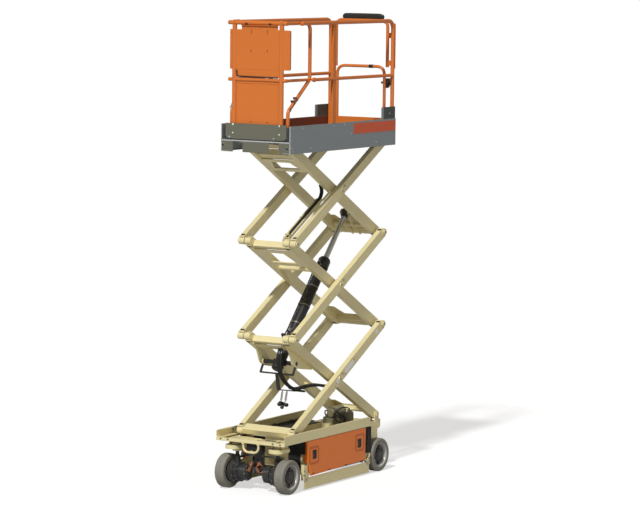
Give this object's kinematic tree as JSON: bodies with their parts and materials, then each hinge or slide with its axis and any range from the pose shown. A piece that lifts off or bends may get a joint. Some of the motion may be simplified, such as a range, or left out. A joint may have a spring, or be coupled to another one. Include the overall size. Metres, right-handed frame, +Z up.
{
  "type": "scissor lift",
  "caption": "Electric slab scissor lift: stacked crossed arms raise a railed platform with a roll-out deck from a wheeled, front-steered chassis.",
  "frame": {"origin": "on the ground under the middle of the machine", "axes": "+X towards the steering end, +Y to the machine's left, +Z up"},
  "size_m": [1.949, 0.76, 4.414],
  "materials": {
    "cream_paint": "semi-gloss paint",
    "orange_paint": "semi-gloss paint",
    "grey_paint": "semi-gloss paint",
    "tyre": "light non-marking rubber",
    "rim": "dark paint",
    "dark_metal": "dark paint",
    "chrome": "hard chrome",
    "rubber": "matte",
    "black_plastic": "moulded",
    "steel": "zinc plated"
  },
  "bodies": {
    "chassis": {"chassis_frame": "cream_paint", "tow_loop": "cream_paint", "batteries": "black_plastic", "hydraulic_unit": "dark_metal", "ladder": "dark_metal", "rear_axle": "dark_metal"},
    "inner_1": {"inner_arms_1": "cream_paint", "inner_pins_1": "steel", "inner_cross_1": "cream_paint", "hoses": "rubber", "hose_bracket": "dark_metal", "release_rods": "chrome", "release_knob": "black_plastic"},
    "outer_1": {"outer_arms_1": "cream_paint", "outer_cross_1": "cream_paint", "base_rollers": "steel"},
    "inner_2": {"inner_arms_2": "cream_paint", "inner_pins_2": "steel", "inner_cross_2": "cream_paint"},
    "outer_2": {"outer_arms_2": "cream_paint"},
    "inner_3": {"inner_arms_3": "cream_paint", "inner_pins_3": "steel", "inner_cross_3": "cream_paint", "top_rollers": "steel"},
    "outer_3": {"outer_arms_3": "cream_paint"},
    "platform": {"platform_frame": "grey_paint", "side_rails": "orange_paint", "rear_hoop": "orange_paint", "hoop_pad": "rubber", "rear_toe_plates": "orange_paint"},
    "barrel": {"lift_barrel": "dark_metal"},
    "rod": {"lift_rod": "chrome"},
    "extension": {"extension_deck": "grey_paint", "extension_toe_board": "grey_paint", "extension_rails": "orange_paint", "front_frame": "orange_paint", "front_panel": "orange_paint", "front_plate": "orange_paint"},
    "gate": {"gate": "orange_paint"},
    "knuckle_left": {"knuckle_left": "dark_metal"},
    "knuckle_right": {"knuckle_right": "dark_metal"},
    "tie_rod": {"tie_rod": "steel"},
    "door_left": {"door_left": "orange_paint"},
    "door_right": {"door_right": "orange_paint"},
    "guard_left": {"guard_left": "cream_paint"},
    "guard_right": {"guard_right": "cream_paint"},
    "wheel_front_left": {"tyre_front_left": "tyre", "rim_front_left": "rim"},
    "wheel_front_right": {"tyre_front_right": "tyre", "rim_front_right": "rim"},
    "wheel_rear_left": {"tyre_rear_left": "tyre", "rim_rear_left": "rim"},
    "wheel_rear_right": {"tyre_rear_right": "tyre", "rim_rear_right": "rim"}
  },
  "joints": [
    {"name": "lift", "type": "hinge", "parent": "chassis", "child": "inner_1", "pos_m": [-0.902, 0, 0.527], "axis": [0, -1, 0], "range_deg": [-26.53, 18.25]},
    {"name": "centre_pin_1", "type": "hinge", "parent": "inner_1", "child": "outer_1", "pos_m": [-0.12062, 0, 0.97359], "axis": [0, 1, 0], "range_deg": [-53.16, 36.6]},
    {"name": "rear_pin_2", "type": "hinge", "parent": "outer_1", "child": "inner_2", "pos_m": [-0.902, 0, 1.42019], "axis": [0, -1, 0], "range_deg": [-53.16, 36.6]},
    {"name": "centre_pin_2", "type": "hinge", "parent": "inner_2", "child": "outer_2", "pos_m": [-0.12062, 0, 1.86678], "axis": [0, 1, 0], "range_deg": [-53.16, 36.6]},
    {"name": "rear_pin_3", "type": "hinge", "parent": "outer_2", "child": "inner_3", "pos_m": [-0.902, 0, 2.31338], "axis": [0, -1, 0], "range_deg": [-53.16, 36.6]},
    {"name": "centre_pin_3", "type": "hinge", "parent": "inner_3", "child": "outer_3", "pos_m": [-0.12062, 0, 2.75997], "axis": [0, 1, 0], "range_deg": [-53.16, 36.6]},
    {"name": "platform_pin", "type": "hinge", "parent": "outer_3", "child": "platform", "pos_m": [-0.902, 0, 3.20657], "axis": [0, -1, 0], "range_deg": [-26.63, 18.35]},
    {"name": "cylinder_trunnion", "type": "hinge", "parent": "inner_1", "child": "barrel", "pos_m": [0.44868, 0, 1.16652], "axis": [0, 1, 0], "range_deg": [-61.12, 42.08]},
    {"name": "cylinder_rod", "type": "slide", "parent": "barrel", "child": "rod", "axis": [-0.6519, 0, 0.7583], "range_m": [-0.4826, 0.3323]},
    {"name": "deck_extension", "type": "slide", "parent": "platform", "child": "extension", "axis": [1, 0, 0], "range_m": [0, 0.9]},
    {"name": "gate_hinge", "type": "hinge", "parent": "platform", "child": "gate", "pos_m": [-0.942, -0.267, 3.6], "axis": [0, 0, -1], "range_deg": [0, 90]},
    {"name": "steering", "type": "hinge", "parent": "chassis", "child": "knuckle_left", "pos_m": [0.813, 0.225, 0.3], "axis": [0, 0, 1], "range_deg": [-65, 65]},
    {"name": "steering_right", "type": "hinge", "parent": "chassis", "child": "knuckle_right", "pos_m": [0.813, -0.225, 0.3], "axis": [0, 0, 1], "range_deg": [-65, 65]},
    {"name": "tie_rod_end", "type": "hinge", "parent": "knuckle_left", "child": "tie_rod", "pos_m": [0.723, 0.225, 0.3], "axis": [0, 0, 1], "range_deg": [-65, 65]},
    {"name": "wheel_front_left", "type": "hinge", "parent": "knuckle_left", "child": "wheel_front_left", "pos_m": [0.813, 0.33, 0.1615], "axis": [0, 1, 0], "continuous": true},
    {"name": "wheel_front_right", "type": "hinge", "parent": "knuckle_right", "child": "wheel_front_right", "pos_m": [0.813, -0.33, 0.1615], "axis": [0, 1, 0], "continuous": true},
    {"name": "wheel_rear_left", "type": "hinge", "parent": "chassis", "child": "wheel_rear_left", "pos_m": [-0.777, 0.33, 0.1615], "axis": [0, 1, 0], "continuous": true},
    {"name": "wheel_rear_right", "type": "hinge", "parent": "chassis", "child": "wheel_rear_right", "pos_m": [-0.777, -0.33, 0.1615], "axis": [0, 1, 0], "continuous": true},
    {"name": "door_left", "type": "hinge", "parent": "chassis", "child": "door_left", "pos_m": [-0.017, 0.372, 0.15], "axis": [-1, 0, 0], "range_deg": [0, 90]},
    {"name": "door_right", "type": "hinge", "parent": "chassis", "child": "door_right", "pos_m": [-0.017, -0.372, 0.15], "axis": [1, 0, 0], "range_deg": [0, 90]},
    {"name": "guard_left", "type": "hinge", "parent": "chassis", "child": "guard_left", "pos_m": [-0.017, 0.372, 0.116], "axis": [-1, 0, 0], "range_deg": [0, 85]},
    {"name": "guard_right", "type": "hinge", "parent": "chassis", "child": "guard_right", "pos_m": [-0.017, -0.372, 0.116], "axis": [1, 0, 0], "range_deg": [0, 85]}
  ],
  "couplings": [
    {"joint": "centre_pin_1", "follows": "lift", "ratio": 2},
    {"joint": "rear_pin_2", "follows": "lift", "ratio": 2},
    {"joint": "centre_pin_2", "follows": "lift", "ratio": 2},
    {"joint": "rear_pin_3", "follows": "lift", "ratio": 2},
    {"joint": "centre_pin_3", "follows": "lift", "ratio": 2},
    {"joint": "platform_pin", "follows": "lift", "ratio": 1},
    {"joint": "cylinder_trunnion", "follows": "lift", "ratio": 2.3},
    {"joint": "cylinder_rod", "follows": "lift", "m_per_rad": 1.04},
    {"joint": "steering_right", "follows": "steering", "ratio": 1},
    {"joint": "tie_rod_end", "follows": "steering", "ratio": -1}
  ]
}
